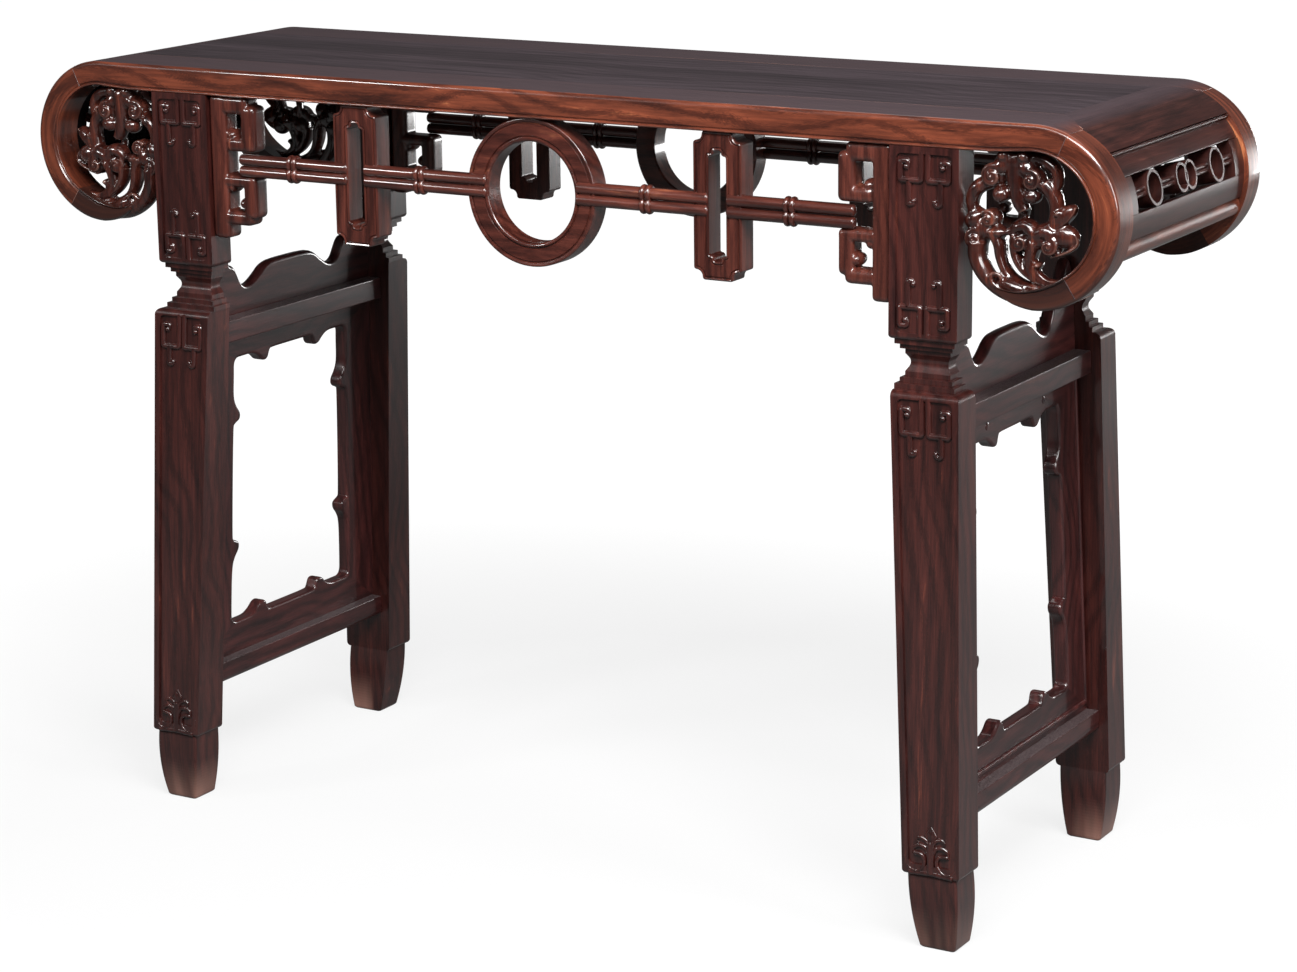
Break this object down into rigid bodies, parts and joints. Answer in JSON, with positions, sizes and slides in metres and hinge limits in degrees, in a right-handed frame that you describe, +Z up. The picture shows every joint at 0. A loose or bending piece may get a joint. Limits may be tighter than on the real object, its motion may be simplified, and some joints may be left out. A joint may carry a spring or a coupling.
{
  "type": "chinese altar table",
  "caption": "Long altar table with scrolled ends, carved cloud fungus, openwork ring aprons and splayed carved legs joined by side frames.",
  "frame": {"origin": "centre of the object's box on the floor, under the middle of the top", "axes": "+X along the table's length to its right end, front faces -Y, +Z up"},
  "size_m": [1.305, 0.4294, 0.84],
  "materials": {
    "top_board": "satin dark rosewood",
    "frame_rosewood": "polished streaked rosewood",
    "carved_rosewood": "polished carved rosewood",
    "leg_rosewood": "polished carved rosewood, worn feet",
    "underside_wood": "unpolished wood",
    "end_rosewood": "polished rosewood",
    "side_rosewood": "polished rosewood",
    "apron_rosewood": "polished rosewood"
  },
  "bodies": {
    "root": {"back_left_corner_bracket": "apron_rosewood", "back_left_inner_rods": "apron_rosewood", "back_left_leg": "leg_rosewood", "back_left_loop": "apron_rosewood", "back_left_outer_rods": "apron_rosewood", "back_left_scroll": "frame_rosewood", "back_left_scroll_tip": "carved_rosewood", "back_rail": "frame_rosewood", "back_right_corner_bracket": "apron_rosewood", "back_right_inner_rods": "apron_rosewood", "back_right_leg": "leg_rosewood", "back_right_loop": "apron_rosewood", "back_right_outer_rods": "apron_rosewood", "back_right_scroll": "frame_rosewood", "back_right_scroll_tip": "carved_rosewood", "back_ring": "apron_rosewood", "front_left_corner_bracket": "apron_rosewood", "front_left_inner_rods": "apron_rosewood", "front_left_leg": "leg_rosewood", "front_left_loop": "apron_rosewood", "front_left_outer_rods": "apron_rosewood", "front_left_scroll": "frame_rosewood", "front_left_scroll_tip": "carved_rosewood", "front_rail": "frame_rosewood", "front_right_corner_bracket": "apron_rosewood", "front_right_inner_rods": "apron_rosewood", "front_right_leg": "leg_rosewood", "front_right_loop": "apron_rosewood", "front_right_outer_rods": "apron_rosewood", "front_right_scroll": "frame_rosewood", "front_right_scroll_tip": "carved_rosewood", "front_ring": "apron_rosewood", "left_crest_board": "side_rosewood", "left_end_board": "end_rosewood", "left_end_lower_rail": "end_rosewood", "left_end_moulding": "end_rosewood", "left_end_rings": "end_rosewood", "left_end_stiles": "end_rosewood", "left_end_upper_rail": "end_rosewood", "left_lower_stretcher": "side_rosewood", "left_ring_board_back": "side_rosewood", "left_ring_board_bottom": "side_rosewood", "left_ring_board_front": "side_rosewood", "left_ring_board_top": "side_rosewood", "left_upper_stretcher": "side_rosewood", "right_crest_board": "side_rosewood", "right_end_board": "end_rosewood", "right_end_lower_rail": "end_rosewood", "right_end_moulding": "end_rosewood", "right_end_rings": "end_rosewood", "right_end_stiles": "end_rosewood", "right_end_upper_rail": "end_rosewood", "right_lower_stretcher": "side_rosewood", "right_ring_board_back": "side_rosewood", "right_ring_board_bottom": "side_rosewood", "right_ring_board_front": "side_rosewood", "right_ring_board_top": "side_rosewood", "right_upper_stretcher": "side_rosewood", "top_battens": "underside_wood", "top_panel": "top_board"}
  },
  "joints": []
}
